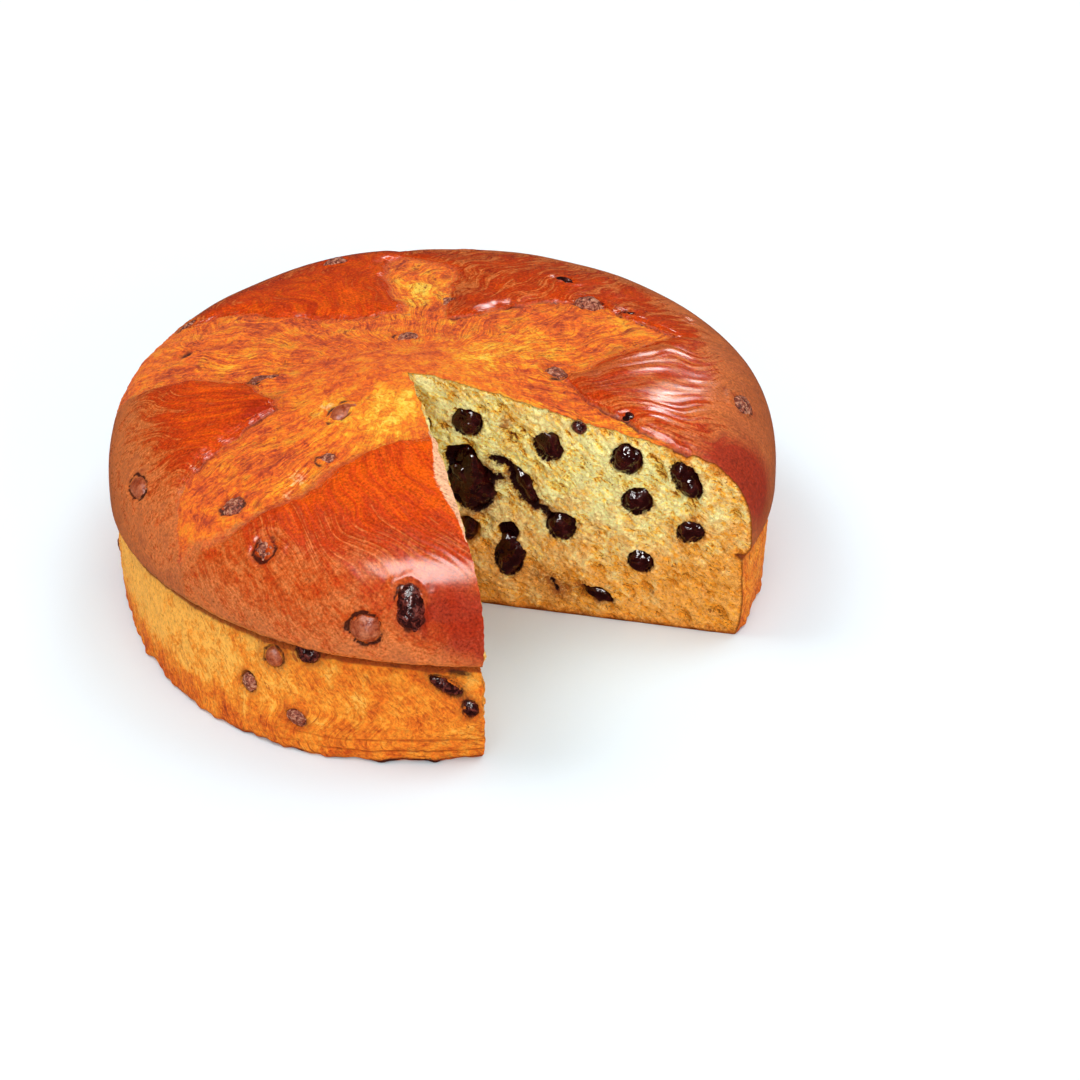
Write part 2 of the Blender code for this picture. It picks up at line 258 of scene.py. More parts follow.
dropKinds = {
    "meltedDrops": {
        "look": "melted", "swell": 1.12, "lump": 0.28, "lumpSize": 4.6, "grain": 0.07, "grainSize": 1.5,
        "names": [name for name in dropNames if "_face_" in name],
    },
    "glossyDrops": {
        "look": "glossy", "swell": 1.1, "lump": 0.26, "lumpSize": 5.5, "grain": 0.05, "grainSize": 1.6,
        "names": ["drop_crust_10", "drop_crust_12", "drop_crust_13", "drop_crust_16", "drop_crust_17",
                  "drop_side_02", "drop_side_04", "drop_side_07", "drop_side_08"],
    },
    "coveredDrops": {
        "look": "covered", "swell": 1.04, "lump": 0.08, "lumpSize": 4.0, "grain": 0.04, "grainSize": 1.4,
        "names": ["drop_crust_04", "drop_crust_09", "drop_side_01", "drop_side_03"],
    },
}
taken = {name for kind in dropKinds.values() for name in kind["names"]}
dropKinds["bakedDrops"] = {
    "look": "baked", "swell": 1.08, "lump": 0.24, "lumpSize": 4.2, "grain": 0.08, "grainSize": 1.3,
    "names": [name for name in dropNames if name not in taken],
}


def spots(points, rows):
    # Soft round marks: x, y, z, radius and amount of each
    total = np.zeros(len(points))
    for x, y, z, radius, amount in rows:
        total += amount * hump(np.linalg.norm(points - np.array((x, y, z)), axis=1) / radius)
    return total


def newPiece(name, points, faces, material, values=None):
    mesh = bpy.data.meshes.new(name)
    mesh.from_pydata((points * mm).tolist(), [], faces.tolist())
    mesh.update()
    for key, value in (values or {}).items():
        kind = "FLOAT_VECTOR" if value.ndim == 2 else "FLOAT"
        layer = mesh.attributes.new(key, kind, "POINT")
        layer.data.foreach_set("vector" if value.ndim == 2 else "value", value.astype(np.float32).ravel())
    mesh.materials.append(material)
    mesh.shade_smooth()
    piece = bpy.data.objects.new(name, mesh)
    bpy.context.scene.collection.objects.link(piece)
    print(name, len(points), "points", len(faces), "faces")
    return piece


def gridFaces(columns, rows):
    # Triangles over a grid whose points run up each column in turn
    column, row = np.meshgrid(np.arange(columns), np.arange(rows), indexing="ij")
    a = (column * (rows + 1) + row).ravel()
    b = a + rows + 1
    return np.concatenate([np.stack([a, b, b + 1], axis=1), np.stack([a, b + 1, a + 1], axis=1)])


def cutPlane(heading, side):
    along = np.array((math.cos(math.radians(heading)), math.sin(math.radians(heading)), 0))
    return along, np.array((-along[1], along[0], 0)) * side


cuts = {"right": cutPlane(loaf["notchTo"], -1), "left": cutPlane(loaf["notchFrom"], 1)}
axisPoint = np.array((axisX, axisY, 0))
knife = {"slow": 0.75, "slowSize": 5.0, "quick": 0.4, "quickSize": 1.6, "reach": 2.6}


def wander(points):
    # The knife tore the crumb, so each cut wanders a little; the skin near it goes along
    moved = points.copy()
    for seed, (along, normal) in enumerate(cuts.values()):
        local = points - axisPoint
        out, off = local @ along, local @ normal
        near = (out > 0) & (np.abs(off) < 4 * knife["reach"])
        flat = stack(out[near], points[near][:, 2], 0.0)
        shift = knife["slow"] * grain(flat, knife["slowSize"], seed + 3)
        shift += knife["quick"] * grain(flat, knife["quickSize"], seed + 5)
        shift *= ramp(out[near] / 8) * hump(off[near] / knife["reach"])
        moved[near] += shift[:, None] * normal
    return moved


def colour(text):
    # An sRGB hex value as linear light
    parts = [int(text[n:n + 2], 16) / 255 for n in (1, 3, 5)]
    return tuple(p / 12.92 if p <= 0.04045 else ((p + 0.055) / 1.055) ** 2.4 for p in parts) + (1.0,)


def addNode(tree, kind, inputs=None, stops=None, **settings):
    # One node, its settings, and what goes into it: a value, or another node's output
    node = tree.nodes.new(kind)
    for key, value in settings.items():
        setattr(node, key, value)
    for key, value in (inputs or {}).items():
        if isinstance(value, bpy.types.NodeSocket):
            tree.links.new(value, node.inputs[key])
        else:
            node.inputs[key].default_value = value
    for count, (place, tint) in enumerate(stops or []):
        elements = node.color_ramp.elements
        element = elements[count] if count < 2 else elements.new(place)
        element.position = place
        element.color = colour(tint)
    return node


def newMaterial(name):
    material = bpy.data.materials.new(name)
    material.use_nodes = True
    tree = material.node_tree
    return material, tree, tree.nodes["Principled BSDF"]


# Every noise in the finishes: how rough it is, and which of its values become -1 and 1
clouds = {"roughness": 0.62, "low": 0.25, "high": 0.75}


def bakedMaterial(look):
    # Every finish here is made from its own table. "read" lists the values that lie on the mesh. "noises"
    # gives for each which coordinates it follows, its size in millimetres along them, its detail and its
    # distortion. "sums" weighs those together, then brings low..high to least..most and holds it there; a
    # last name multiplies the result. "layers" lie one over another: how much of it, then one tint, or the
    # sum that picks from its tones.
    material, tree, shader = newMaterial(look["name"])
    place = addNode(tree, "ShaderNodeTexCoord").outputs["Object"]
    inputs = {0: place, "Scale": 1 / mm}
    found = {"place": addNode(tree, "ShaderNodeVectorMath", inputs, operation="SCALE").outputs[0]}
    for key in look["read"]:
        outlet = "Vector" if key == "flow" else "Fac"
        found[key] = addNode(tree, "ShaderNodeAttribute", attribute_name=key).outputs[outlet]
    for key, (follows, size, detail, distortion) in look["noises"].items():
        scale = tuple(1 / length for length in size)
        inputs = {0: found[follows], 1: scale}
        scaled = addNode(tree, "ShaderNodeVectorMath", inputs, operation="MULTIPLY").outputs[0]
        inputs = {"Vector": scaled, "Scale": 1.0, "Detail": detail, "Distortion": distortion}
        inputs["Roughness"] = clouds["roughness"]
        cloud = addNode(tree, "ShaderNodeTexNoise", inputs).outputs[0]
        limits = {"Value": cloud, "From Min": clouds["low"], "From Max": clouds["high"], "To Min": -1.0}
        found[key] = addNode(tree, "ShaderNodeMapRange", limits).outputs[0]
        if follows == "flow" and "drawn" in found:
            inputs = {0: found[key], 1: found["drawn"]}
            found[key] = addNode(tree, "ShaderNodeMath", inputs, operation="MULTIPLY").outputs[0]
    for key, (weights, low, high, least, most, *times) in look["sums"].items():
        total = 0.0
        for part, weight in weights.items():
            inputs = {0: found[part], 1: weight, 2: total}
            total = addNode(tree, "ShaderNodeMath", inputs, operation="MULTIPLY_ADD").outputs[0]
        limits = {"Value": total, "From Min": low, "From Max": high, "To Min": least, "To Max": most}
        found[key] = addNode(tree, "ShaderNodeMapRange", limits).outputs[0]
        for other in times:
            inputs = {0: found[key], 1: found[other]}
            found[key] = addNode(tree, "ShaderNodeMath", inputs, operation="MULTIPLY").outputs[0]
    tint = None
    for share, tone, tints in look["layers"]:
        above = colour(tints) if tone is None else None
        if tone:
            above = addNode(tree, "ShaderNodeValToRGB", {"Fac": found[tone]}, stops=tints).outputs[0]
        if tint:
            inputs = {0: found[share], 6: tint, 7: above}
            above = addNode(tree, "ShaderNodeMix", inputs, data_type="RGBA").outputs[2]
        tint = above
    inputs = {0: tint, "Scale": found["shade"]}
    shaded = addNode(tree, "ShaderNodeVectorMath", inputs, operation="SCALE").outputs[0]
    tree.links.new(shaded, shader.inputs["Base Color"])
    tree.links.new(found["rough"], shader.inputs["Roughness"])
    inputs = {"Height": found["height"], "Strength": 1.0, "Distance": mm}
    tree.links.new(addNode(tree, "ShaderNodeBump", inputs).outputs[0], shader.inputs["Normal"])
    shader.inputs["IOR"].default_value = look["ior"]
    shader.inputs["Specular IOR Level"].default_value = look["specular"]
    return material


# Baked sweet dough. The egg-washed skin is red-brown and softly shiny, with fine drawn fibres; where it
# tore open the dough is golden, rough and matt, with short dark slits. The skin's fine bubbles are drawn
# coarser than the real 0.2 mm, so that they show.
crustLook = {
    "name": "egg-washed baked crust",
    "ior": 1.45,
    "specular": 0.42,
    "read": ("flow", "skin", "brown", "yellow", "red", "crease", "scorchAndShade", "pale", "drawn"),
    "noises": {
        "fibre": ("flow", (0.9, 11.0, 1.0), 3.0, 0.5),
        "band": ("flow", (4.2, 28.0, 1.0), 4.0, 0.6),
        "slit": ("flow", (1.6, 6.5, 1.0), 3.0, 0.9),
        "crinkle": ("flow", (2.4, 14.0, 1.0), 0.0, 0.0),
        "mottle": ("place", (6.5, 6.5, 6.5), 6.0, 0.3),
        "swirl": ("place", (2.4, 2.4, 2.4), 5.0, 1.6),
        "sand": ("place", (0.8, 0.8, 0.8), 3.0, 0.0),
    },
    "sums": {
        "tornTone": ({"yellow": 1.0, "mottle": 0.46, "swirl": 0.34, "fibre": 0.2, "band": 0.36},
                     -0.4, 0.7, 0, 1),
        "blotchShare": ({"swirl": 0.8, "band": 0.5, "mottle": 0.5, "yellow": -0.6}, 0.35, 0.9, 0, 0.7),
        "skinTone": ({"brown": 1.0, "mottle": 0.2, "fibre": 0.4, "band": 0.36, "swirl": 0.14}, 0, 1, 0, 1),
        "skinShare": ({"skin": 1.4, "mottle": 0.5, "fibre": 0.2, "band": 0.2, "swirl": 0.3}, -0.4, 0.4, 0, 1),
        "tornShare": ({"skinShare": 1.0}, 0, 1, 1, 0),
        "redShare": ({"red": 1.1, "band": 0.5, "fibre": 0.4, "mottle": 0.2}, 0.4, 1.1, 0, 0.9),
        "slitShare": ({"slit": 1.0, "mottle": 0.4, "skinShare": -0.3}, 0.34, 0.75, 0, 0.85),
        "creaseShadeShare": ({"crease": 1.3, "fibre": 0.45, "mottle": 0.3}, 0.36, 1.06, 0, 0.85),
        "paleShare": ({"pale": 1.3, "swirl": 0.4, "fibre": 0.3}, 0.55, 1.1, 0, 0.8),
        "scorchAndShadeShare": ({"scorchAndShade": 1.4, "mottle": 0.2, "swirl": 0.3}, 0.45, 1.1, 0, 0.92),
        "skinSand": ({"sand": 1.0}, -1, 1, -1, 1, "skinShare"),
        "shade": ({"sand": 0.4, "skinSand": 0.5, "fibre": 0.6, "swirl": 0.2}, -1, 1, 0.4, 1.46),
        "rimRough": ({"brown": 1.0}, 0.6, 1.0, 0, 0.22, "skinShare"),
        "rough": ({"skinShare": -0.66, "rimRough": 1.0, "sand": 0.04, "mottle": 0.06}, -1, 1, -0.14, 1.86),
        "looseSand": ({"sand": 1.0}, -1, 1, -1, 1, "tornShare"),
        "looseSwirl": ({"swirl": 1.0}, -1, 1, -1, 1, "tornShare"),
        "height": ({"crinkle": 0.07, "looseSand": 0.08, "looseSwirl": 0.2}, -1, 1, -1, 1),
    },
    "layers": (
        ("", "tornTone", [(0.0, "#b33a06"), (0.2, "#d95406"), (0.42, "#ec6c08"), (0.62, "#f4880c"),
                          (0.82, "#faae22"), (1.0, "#fed04a")]),
        ("blotchShare", None, "#c23a06"),
        ("skinShare", "skinTone", [(0.0, "#e25604"), (0.2, "#cc4204"), (0.42, "#b63204"), (0.6, "#bc4c14"),
                                   (0.8, "#cc6c32"), (1.0, "#b45a2a")]),
        ("redShare", None, "#9c2206"),
        ("slitShare", None, "#962a06"),
        # creaseShadeShare lays painted shade into the creases
        ("creaseShadeShare", None, "#641608"),
        # paleShare: the pale flap's own colour, and painted highlight from the marks
        ("paleShare", None, "#eebc94"),
        # scorchAndShadeShare: scorched spots, and painted shade round the drops
        ("scorchAndShadeShare", None, "#34100a"),
    ),
}

# Baked dough that stood against a paper mould: golden orange, matt, with short drawn fibres and small pits
wallLook = {
    "name": "mould-side baked dough",
    "ior": 1.45,
    "specular": 0.25,
    "read": ("flow", "yellow", "crease", "scorchAndShade"),
    "noises": {
        "fibre": ("flow", (1.0, 4.5, 1.0), 4.0, 1.2),
        "slit": ("flow", (1.5, 5.0, 1.0), 3.0, 1.0),
        "mottle": ("place", (6.5, 6.5, 6.5), 6.0, 0.4),
        "swirl": ("place", (2.2, 2.2, 2.2), 5.0, 1.4),
        "sand": ("place", (0.9, 0.9, 0.9), 3.0, 0.0),
    },
    "sums": {
        "tone": ({"yellow": 1.0, "mottle": 0.42, "swirl": 0.26, "fibre": 0.22}, -0.34, 0.76, 0, 1),
        "slitShare": ({"slit": 1.0, "mottle": 0.4}, 0.48, 0.95, 0, 0.75),
        "creaseShadeShare": ({"crease": 1.0, "swirl": 0.35, "fibre": 0.2}, 0.15, 0.9, 0, 0.85),
        "scorchAndShadeShare": ({"scorchAndShade": 1.0, "swirl": 0.4}, 0.25, 0.9, 0, 0.9),
        "shade": ({"sand": 0.5, "fibre": 0.4, "swirl": 0.2}, -1, 1, 0.5, 1.5),
        "rough": ({"sand": 0.06}, -0.5, 0.5, 0.34, 1.34),
        "height": ({"fibre": 0.22, "sand": 0.1, "swirl": 0.2}, -1, 1, -1, 1),
    },
    "layers": (
        ("", "tone", [(0.0, "#983006"), (0.25, "#cc520c"), (0.5, "#e67418"), (0.75, "#f29026"),
                      (1.0, "#fab048")]),
        ("slitShare", None, "#a5410c"),
        # creaseShadeShare: painted shade in the folds and under the lip; the burnt flakes and the lowest rim
        # feed it too
        ("creaseShadeShare", None, "#882a08"),
        # scorchAndShadeShare: burnt flakes, and painted shade in the lip gaps and round the drops
        ("scorchAndShadeShare", None, "#3c140a"),
    ),
}

# Torn yellow crumb of a rich egg dough: matt, cream on the strands, pores painted deeper gold as painted
# shade
crumbLook = {
    "name": "torn egg-dough crumb",
    "ior": 1.4,
    "specular": 0.2,
    "read": ("flow", "pit", "rind", "toast", "stain", "smearAndShade"),
    "noises": {
        "mottle": ("place", (6.0, 6.0, 6.0), 6.0, 0.4),
        "cells": ("place", (1.3, 1.3, 1.3), 4.0, 1.2),
        "strand": ("flow", (3.2, 0.9, 1.0), 4.0, 1.2),
        "speck": ("flow", (1.9, 0.8, 1.0), 3.0, 1.4),
        "sand": ("place", (0.8, 0.8, 0.8), 3.0, 0.0),
    },
    "sums": {
        "depth": ({"pit": 0.9, "cells": 0.42, "strand": 0.75, "mottle": 0.12}, -0.1, 0.94, 0, 1),
        "speckShare": ({"speck": 1.0, "pit": 0.5, "sand": 0.3}, 0.42, 0.7, 0, 0.9),
        "toastShare": ({"toast": 1.0, "mottle": 0.6, "cells": 0.25}, 0.0, 1.0, 0, 0.85),
        "stainShare": ({"stain": 1.0, "cells": 0.45, "mottle": 0.2}, 0.25, 1.05, 0, 0.8),
        "rindShare": ({"rind": -0.5, "mottle": 0.9, "cells": 0.3}, -1.1, 0.1, 0, 0.85),
        "edgeShare": ({"rind": -1.0, "cells": 0.3}, -0.8, -0.15, 0, 0.7),
        "smearAndShadeShare": ({"smearAndShade": 1.0, "cells": 0.35, "sand": 0.25}, 0.35, 0.65, 0, 1),
        "shade": ({"sand": 0.8, "strand": 0.5}, -1, 1, 0.6, 1.64),
        "rough": ({"sand": 0.05, "smearAndShadeShare": -0.5}, -0.5, 0.5, 0.35, 1.35),
        "height": ({"cells": 0.2, "strand": 0.4, "sand": 0.1}, -1, 1, -1, 1),
    },
    "layers": (
        ("", "depth", [(0.0, "#fff2a6"), (0.3, "#ffe070"), (0.5, "#fcc84e"), (0.64, "#e09830"),
                       (0.8, "#9a5a16"), (1.0, "#4c260a")]),
        ("toastShare", None, "#f09428"),
        ("speckShare", None, "#8a5216"),
        ("stainShare", None, "#9a4a1c"),
        ("rindShare", None, "#e0801f"),
        ("edgeShare", None, "#8e3410"),
        # smearAndShadeShare: chocolate drawn along the cut, and painted shade in the deepest hollows
        ("smearAndShadeShare", None, "#2a0a0a"),
    ),
}

# Dark chocolate. Melted on a cut it is black-brown and glossy; baked on the crust it turns dull and
# greyish brown; under a film of dough it takes the crust's own brown.
chocolateLooks = {}
for name, finish, tones, roughness, specular, bump, size, detail in (
    ("melted", "melted dark chocolate", ("#1e0303", "#290605", "#380b08"), 0.13, 0.45, 0.16, 2.6, 0.6),
    ("glossy", "set dark chocolate", ("#1e0404", "#360e0c", "#6a2a20"), 0.2, 0.5, 0.12, 1.8, 2.0),
    ("baked", "oven-dried chocolate", ("#46140a", "#964226", "#cc9070"), 0.5, 0.35, 0.3, 1.2, 4.0),
    ("covered", "dough-filmed chocolate", ("#86300e", "#a04a26", "#b05e38"), 0.4, 0.35, 0.08, 2.6, 2.0),
):
    chocolateLooks[name] = {
        "name": finish,
        "ior": 1.5,
        "specular": specular,
        "read": (),
        "noises": {
            "cloud": ("place", (size, size, size), detail, 0.6),
            "sand": ("place", (0.6, 0.6, 0.6), 2.0, 0.0),
        },
        "sums": {
            "tone": ({"cloud": 1.0, "sand": 0.2}, -0.6, 0.6, 0, 1),
            "shade": ({"sand": 1.0}, -1, 1, 0.7, 1.3),
            "rough": ({"cloud": 0.12}, -0.5, 0.5, roughness - 0.5, roughness + 0.5),
            "height": ({"cloud": bump}, -1, 1, -1, 1),
        },
        "layers": (("", "tone", list(zip((0.0, 0.5, 1.0), tones))),),
    }


crustShape = {
    "columns": 620,
    "rows": 150,
    "lipRows": 8,
    "bead": 0.45,           # the skin's torn edge stands up by this much
    "creaseDepth": 0.8,
    "fibre": 0.02,          # drawn fibres on the skin
    "fold": 0.14,           # slack folds on the skin
    "tornRough": 0.56,      # lumps and strands of the torn dough
    "socket": 0.6,          # how far the skin sinks round a drop
    "flap": {"out": 50, "half": 22, "wide": 2.6},
    # Under the rim the lip turns in to the crease: along the turn, the inset of its oval and its rise
    "lip": ((0, 0.25, 0.55, 0.8, 1), (0.957, 0.966, 0.984, 0.993, 1.0), (-0.48, 0.1, 0.5, 1.3, 3.0)),
    "bends": ((9, 34, 63), (4, 12, 64)),        # how far the fibres bend, over what size, and the seed
}
crustDropNames = [name for name in dropNames if "crust" in name or "side" in name]

# Marks on the crust, each as x, y, z, radius and amount: deep red patches, scorched spots,
# painted highlight streaks on the front lobe, and where the torn dough is more yellow
redMarks = (
    (8, -110, 50, 13, 0.9), (20, -112, 42, 14, 0.8), (2, -106, 57, 7, 0.4), (96, -36, 48, 16, 0.9),
    (84, -42, 60, 12, 0.7), (-55, -34, 74, 5, 0.9), (-50, -28, 76, 6, 0.6), (45, -20, 75, 9, 0.5),
    (10, 37, 71, 8, 0.6), (-46, 34, 70, 12, 0.4), (-62, -26, 71, 9, 0.4), (-42, -35, 77, 3, 0.7),
    (-26, -32, 81, 4, 0.5), (56, -13, 73, 9, 0.4),
    (91, -41, 52, 12, 0.5), (60, 6, 72, 12, 0.4), (-86, -30, 58, 10, 0.3),
)
charMarks = (
    (-94.3, -20.1, 52, 2.2, 1.0), (-81.9, 20.2, 62, 2.6, 1.1), (99, 6, 52, 2.0, 0.9),
    (2.5, 9, 80, 1.3, 0.5), (28, -8, 79, 1.6, 0.6),
)
paintedHighlightMarks = (
    (-32, -38, 79, 3.0, 0.8), (-36, -38, 78, 2.5, 0.7), (-40, -66, 69, 3.5, 0.6), (-43, -72, 67, 2.5, 0.6),
)
yellowMarks = (
    (-14, -48, 80, 14, 0.36), (-9, -38, 82, 10, 0.2), (-26, -50, 78, 10, 0.22), (-7, 46, 70, 9, 0.3),
    (22, -33, 78, 9, 0.22), (4, -31, 82, 8, 0.25), (-32, -37, 79, 6, 0.25), (-41, -70, 68, 6, 0.25),
    (50, 27, 70, 12, 0.12), (14, -8, 79, 14, 0.34), (30, 12, 75, 12, 0.24), (-7, 56, 68, 10, 0.25),
    (60, -38, 72, 10, 0.3), (-62, 4, 72, 12, 0.15),
)


def crustGrid():
    columns, rows = crustShape["columns"], crustShape["rows"]
    headings = np.linspace(loaf["notchTo"], loaf["notchFrom"] + 360, columns + 1)
    rimReach = reach(headings, 1.0)
    cos, sin = rays(headings)
    fine = 1 - np.linspace(0, 1, 500) ** 3
    far = rimReach[:, None] * fine
    heights = smoothDome(axisX + cos * far, axisY + sin * far)
    steps = np.hypot(np.diff(far, axis=1), np.diff(heights, axis=1))
    arc = np.concatenate([np.zeros((columns + 1, 1)), np.cumsum(steps, axis=1)], axis=1)
    even = np.linspace(0, 1, rows + 1)
    share = np.array([np.interp(even * run[-1], run, fine) for run in arc])
    share[:, -1] = 0
    out = share * rimReach[:, None]
    x, y = axisX + cos * out, axisY + sin * out
    height = crustHeight(x, y)
    along = (1 - even)[None, :] * arc[:, -1:]     # millimetres of skin from the peak
    seam = seamHeight(np.degrees(np.arctan2(y[:, 0], x[:, 0])))
    turn = np.linspace(0, 1, crustShape["lipRows"] + 1)[:-1]
    turns, insets, rises = crustShape["lip"]
    lipOut = np.stack([reach(headings, inset) for inset in np.interp(turn, turns, insets)], axis=1)
    lipHeight = seam[:, None] + np.interp(turn, turns, rises)[None, :]
    out = np.concatenate([lipOut, out], axis=1)
    height = np.concatenate([lipHeight, height], axis=1)
    lipAlong = arc[:, -1:] + (1 - turn)[None, :] * loaf["lipHeight"]
    along = np.concatenate([lipAlong, along], axis=1)
    return headings, out, height, along


def buildCrust(material):
    headings, out, height, along = crustGrid()
    cos, sin = rays(headings)
    x, y = axisX + cos * out, axisY + sin * out
    shape = out.shape
    lobe = lobeField(x, y, height)
    lipRow = crustShape["lipRows"]
    skin = np.clip(lobe["soft"], -1.5, 1.5)
    inside = lobe["inside"]
    skin[:, :lipRow] = 1.5
    inside[:, :lipRow] = 6
    points = stack(x, y, height)
    far = np.hypot(x - axisX, y - axisY).ravel()
    bend = sum(amount * grain(points, size, seed) for amount, size, seed in crustShape["bends"])
    turned = np.radians(headings[:, None] + lobe["twist"] * (along - 40)).ravel() * 62 + bend
    flow = stack(turned, along.ravel() + bend, lobe["twist"].ravel() * 40)
    rimward = ramp((outShare(x, y).ravel() - 0.8) / 0.16)
    drawn = ramp((far - 12) / 34) * (1 - 0.7 * rimward)
    skinWeight = ramp(0.5 + skin.ravel() / 2)
    tornWeight = 1 - skinWeight
    level = height - seamHeight(np.degrees(np.arctan2(y, x)))
    # Painted shade under the lip: the first hem rows, where the lip turns in under the dome, are darkened
    hemShade = np.interp(np.arange(shape[1]), (0, 4.6, 6, 7), (1, 1, 0.6, 0))
    hemShade = hemShade * ramp(0.9 + grain(points, 3.0, 13).reshape(shape))
    fade = ramp(out.ravel() / 8) * ramp((level + 1).ravel() / 4)

    # Drawn fibres and slack folds on the skin
    relief = crustShape["fibre"] * grain(flow, (2.4, 22, 1), 1)
    relief += 0.7 * crustShape["fibre"] * grain(flow, (1.3, 12, 1), 2)
    relief += crustShape["fold"] * grain(flow, (4.5, 40, 1), 9)
    relief *= (0.35 + 0.65 * skinWeight) * drawn
    # Torn dough in the valleys: drawn strands, lumps and small tears
    strands = 0.8 * ridges(flow, (5.5, 17, 1), 3) + 0.6 * grain(flow, (2.2, 6, 1), 4)
    torn = strands * drawn + 0.55 * ridges(points, 3.4, 5) + 0.5 * grain(points, 1.9, 8)
    torn += 0.9 * grain(points, 8.0, 10)
    relief += crustShape["tornRough"] * torn * tornWeight
    tear = ramp((-torn - 0.5) / 0.6) * tornWeight
    # The torn edge of the skin stands up over a crease
    strength = lobe["crease"].ravel() * ramp(0.75 + 1.4 * grain(points, 10.0, 7))
    edge = inside.ravel()
    relief += crustShape["bead"] * hump((edge - 1.1) / 0.9) * strength
    relief -= crustShape["creaseDepth"] * hump((edge + 0.4) / 0.8) * strength
    # The crease colour is painted shade: in the crease under the skin's torn edge, deep in the tears, and
    # under the hem
    crease = hump((edge + 0.3) / 0.8) * strength + 0.5 * tear + 1.1 * hemShade.ravel()

    scorchAndShade = spots(points, charMarks)
    red = spots(points, redMarks)
    relief -= 1.2 * np.clip(scorchAndShade, 0, 1)
    wave = grain(points, 2.2, 65)
    for seed, name in enumerate(crustDropNames):
        near = np.abs(points - drops[name][0]).max(axis=1) < 16
        shell = (dropShell(points[near], name) - 1) * 5 + 0.9 * wave[near]
        depth = crustShape["socket"] * (0.5 + 0.5 * math.sin(seed * 2.3) ** 2)
        relief[near] -= depth * hump((shell - 0.2) / 0.6)
        relief[near] += 0.3 * hump((shell - 1.8) / 1.0)
        side = ramp(0.5 + 1.6 * grain(points[near], 4.5, 66 + seed))
        # Painted shade: a near-black ring in the crack round each covered drop
        if name in dropKinds["coveredDrops"]["names"]:
            scorchAndShade[near] += 1.1 * hump((shell - 0.3) / 0.28) * skinWeight[near]
            relief[near] -= 0.5 * hump((shell - 0.3) / 0.4) * skinWeight[near]
        # Painted shade: a near-black rim in each drop's socket, heavier on one side chosen by noise
        scorchAndShade[near] += (0.15 + 0.85 * side) * hump((shell + 0.1) / 0.6)
        red[near] += 0.45 * side * hump((shell - 0.8) / 1.8)
    relief = (relief * fade).reshape(shape)

    # Move each point square to the dome, within its own column
    stepOut, stepUp = np.gradient(out, axis=1), np.gradient(height, axis=1)
    length = np.hypot(stepOut, stepUp) + 1e-9
    out = out + relief * stepUp / length
    height = height - relief * stepOut / length
    # The lip's hem is uneven, and stands off the wall here and there
    hem = stack(headings[:, None] * 1.9 + 0 * out, 0.0, 0.0)
    hemDrop = (0.5 * grain(hem, 6.0, 11) + 0.3 * grain(hem, 2.0, 12)).reshape(shape)
    hemShare = np.zeros(shape)
    hemShare[:, 1:lipRow + 6] = np.interp(np.arange(1, lipRow + 6), (0, 4, lipRow + 6), (0, 1, 0))
    height = height + hemDrop * hemShare

    x, y = axisX + cos * out, axisY + sin * out
    points = wander(stack(x, y, height))
    yellow = spots(points, yellowMarks)
    points = points.reshape(shape + (3,))
    points[:, -1] = points[:, -1].mean(axis=0)
    share = outShare(x, y).ravel()
    # A pale flap of skin lies along the left cut
    flap = crustShape["flap"]
    along, normal = cuts["left"]
    local = points.reshape(-1, 3) - axisPoint
    out, off = local @ along - flap["out"], np.abs(local @ normal)
    pale = 1.2 * ramp(1.7 - off / (0.3 + flap["wide"] * hump(out / 12))) * (np.abs(out) < flap["half"])
    # The marks add painted highlight: pale sheen streaks on the front lobe
    pale += spots(points.reshape(-1, 3), paintedHighlightMarks)
    # The skin turns cooler and browner out at the rim and low on the lip
    brown = 0.1 + lobe["cool"].ravel() + 0.55 * ramp((share - 0.72) / 0.24)
    brown += 0.15 * ramp((16 - level.ravel()) / 14)
    values = {
        "flow": flow, "skin": skin.ravel(), "brown": brown, "yellow": yellow, "drawn": drawn,
        "red": np.clip(red, 0, 1.2), "crease": crease, "scorchAndShade": np.clip(scorchAndShade, 0, 1.2), "pale": pale,
    }
    faces = gridFaces(shape[0] - 1, shape[1] - 1)
    piece = newPiece("bakedCrust", points.reshape(-1, 3), faces, material, values)
    return piece, points


wallShape = {
    "rows": 64,
    "fibre": 0.28,
    "lump": 0.5,
    "pit": 0.5,
    "layer": 0.55,          # creases where the dough folded at the front foot
    "girthFrom": 268,       # the girth is measured both ways from the front foot
    "girthRadius": 108,
    "lean": 52,             # the fibres lean down to the right by this, and lie level near the front foot
    "footRings": (0.0, 0.35, 0.7, 0.93),
    # Flaps that stick out at the foot: heading, half width in degrees and how far
    "footTabs": ((-98, 1.1, 1.2), (-90, 0.7, 0.9), (-147, 0.9, 1.2), (-113, 0.8, 0.8), (-126, 0.7, 0.8)),
}

# Gaps under the lip near the front in painted shade, and burnt flakes at the foot: x, y, z, radius and amount
gapMarks = (
    (-14, -110, 32.4, 1.2, 1.3), (-12, -110, 32.0, 1.3, 1.5), (-10, -110, 32.0, 1.2, 1.3),
    (5, -110, 30.9, 1.2, 1.3), (7, -110, 30.4, 1.3, 1.5), (9, -110, 30.0, 1.2, 1.4),
    (11, -110, 29.2, 1.2, 1.3), (-22, -108, 9, 1.6, 0.8), (-18, -109, 8, 1.6, 0.8),
    (-12, -109, 1.5, 2.2, 0.6), (4, -109, 1.5, 2.4, 0.7), (12, -108, 1.2, 2.2, 0.8),
    (9, -110, 21, 1.4, 0.7), (5, -110, 24, 1.5, 0.7),
)


